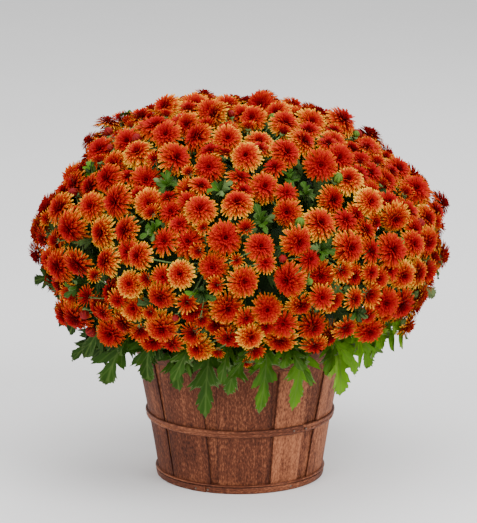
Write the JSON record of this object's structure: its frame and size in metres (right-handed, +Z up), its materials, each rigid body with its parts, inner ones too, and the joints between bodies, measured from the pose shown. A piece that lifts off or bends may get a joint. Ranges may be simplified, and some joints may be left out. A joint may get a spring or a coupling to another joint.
{
  "type": "pot chrysanthemum",
  "caption": "Florist's cushion chrysanthemum with a dome of double red and gold blooms, in a nursery pot set in a stained split-wood basket.",
  "frame": {"origin": "middle of the basket's foot, on the surface that it stands on", "axes": "+Z up the plant, -Y towards the front that the reference view shows, +X to that view's right"},
  "size_m": [0.5461, 0.55, 0.5029],
  "materials": {
    "petals": "matt petals, deep red at the heart, orange and gold at the tips",
    "leaves": "satin green leaves and stalks, with paler veins and undersides",
    "stave_wood": "red-brown stain on split wood with fine upright grain, dry and matt",
    "hoop_wood": "red-brown stain on bent wood with grain along the hoop, a little smoother",
    "pot_plastic": "thin black nursery plastic",
    "soil": "dark crumbly potting compost"
  },
  "bodies": {
    "root": {"basket_floor": "stave_wood", "stave_outer_01": "stave_wood", "stave_outer_02": "stave_wood", "stave_outer_03": "stave_wood", "stave_outer_04": "stave_wood", "stave_outer_05": "stave_wood", "stave_outer_06": "stave_wood", "stave_outer_07": "stave_wood", "stave_outer_08": "stave_wood", "stave_outer_09": "stave_wood", "stave_outer_10": "stave_wood", "stave_inner_01": "stave_wood", "stave_inner_02": "stave_wood", "stave_inner_03": "stave_wood", "stave_inner_04": "stave_wood", "stave_inner_05": "stave_wood", "stave_inner_06": "stave_wood", "stave_inner_07": "stave_wood", "stave_inner_08": "stave_wood", "stave_inner_09": "stave_wood", "stave_inner_10": "stave_wood", "hoop_bottom": "hoop_wood", "hoop_bottom_bead": "hoop_wood", "hoop_middle": "hoop_wood", "hoop_rim_outer": "hoop_wood", "hoop_rim_inner": "hoop_wood", "grower_pot": "pot_plastic", "soil": "soil", "leafy_stem_1": "leaves", "leafy_stem_2": "leaves", "leafy_stem_3": "leaves", "leafy_stem_4": "leaves", "leafy_stem_5": "leaves", "leafy_stem_6": "leaves", "spray_01": "petals", "spray_02": "petals", "spray_03": "petals", "spray_04": "petals", "spray_05": "petals", "spray_06": "petals", "spray_07": "petals", "spray_08": "petals", "spray_09": "petals", "spray_10": "petals", "spray_11": "petals", "spray_12": "petals", "spray_13": "petals", "spray_14": "petals", "spray_15": "petals", "spray_16": "petals", "spray_17": "petals", "spray_18": "petals", "spray_19": "petals", "spray_20": "petals", "spray_21": "petals", "spray_22": "petals", "spray_23": "petals", "spray_24": "petals"}
  },
  "joints": []
}
